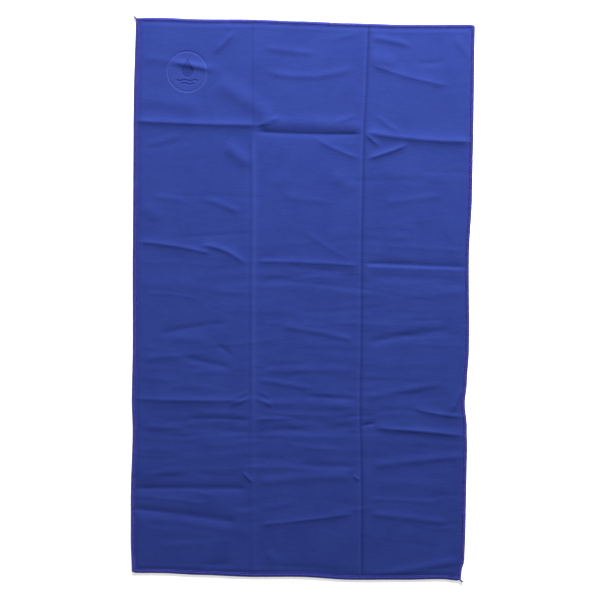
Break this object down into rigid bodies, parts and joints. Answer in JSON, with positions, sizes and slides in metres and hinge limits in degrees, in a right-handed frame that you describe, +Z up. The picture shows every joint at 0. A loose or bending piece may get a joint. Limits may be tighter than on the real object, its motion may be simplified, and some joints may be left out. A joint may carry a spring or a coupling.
{
  "type": "quick dry towel",
  "caption": "Flat rectangular microfibre towel with an overlocked edge and a pressed emblem in one corner, creased to fold in thirds along its length.",
  "frame": {"origin": "under the middle of the towel, on the surface that it lies on", "axes": "+X across the towel, +Y along it towards the end with the emblem, +Z up out of its face"},
  "size_m": [0.4118, 0.6786, 0.0016],
  "materials": {
    "towel_cloth": "suede",
    "overlock_thread": "matte",
    "label_tape": "satin"
  },
  "bodies": {
    "middle_third": {"cloth_middle": "towel_cloth", "overlock_top_middle": "overlock_thread", "overlock_bottom_middle": "overlock_thread", "needle_line_top_middle": "overlock_thread", "needle_line_bottom_middle": "overlock_thread"},
    "left_third": {"cloth_left": "towel_cloth", "overlock_left": "overlock_thread", "overlock_top_left": "overlock_thread", "overlock_bottom_left": "overlock_thread", "needle_line_left": "overlock_thread", "needle_line_top_left": "overlock_thread", "needle_line_bottom_left": "overlock_thread", "thread_tail_top_left": "overlock_thread"},
    "right_third": {"cloth_right": "towel_cloth", "overlock_right": "overlock_thread", "overlock_top_right": "overlock_thread", "overlock_bottom_right": "overlock_thread", "needle_line_right": "overlock_thread", "needle_line_top_right": "overlock_thread", "needle_line_bottom_right": "overlock_thread", "thread_tail_bottom_right": "overlock_thread", "care_label": "label_tape", "label_tacks": "overlock_thread"}
  },
  "joints": [
    {"name": "right_fold", "type": "hinge", "parent": "middle_third", "child": "right_third", "pos_m": [0.075, 0, 0.0042], "axis": [0, -1, 0], "range_deg": [0, 179.5]},
    {"name": "left_fold", "type": "hinge", "parent": "middle_third", "child": "left_third", "pos_m": [-0.059, 0, 0.0075], "axis": [0, 1, 0], "range_deg": [0, 179.5]}
  ]
}
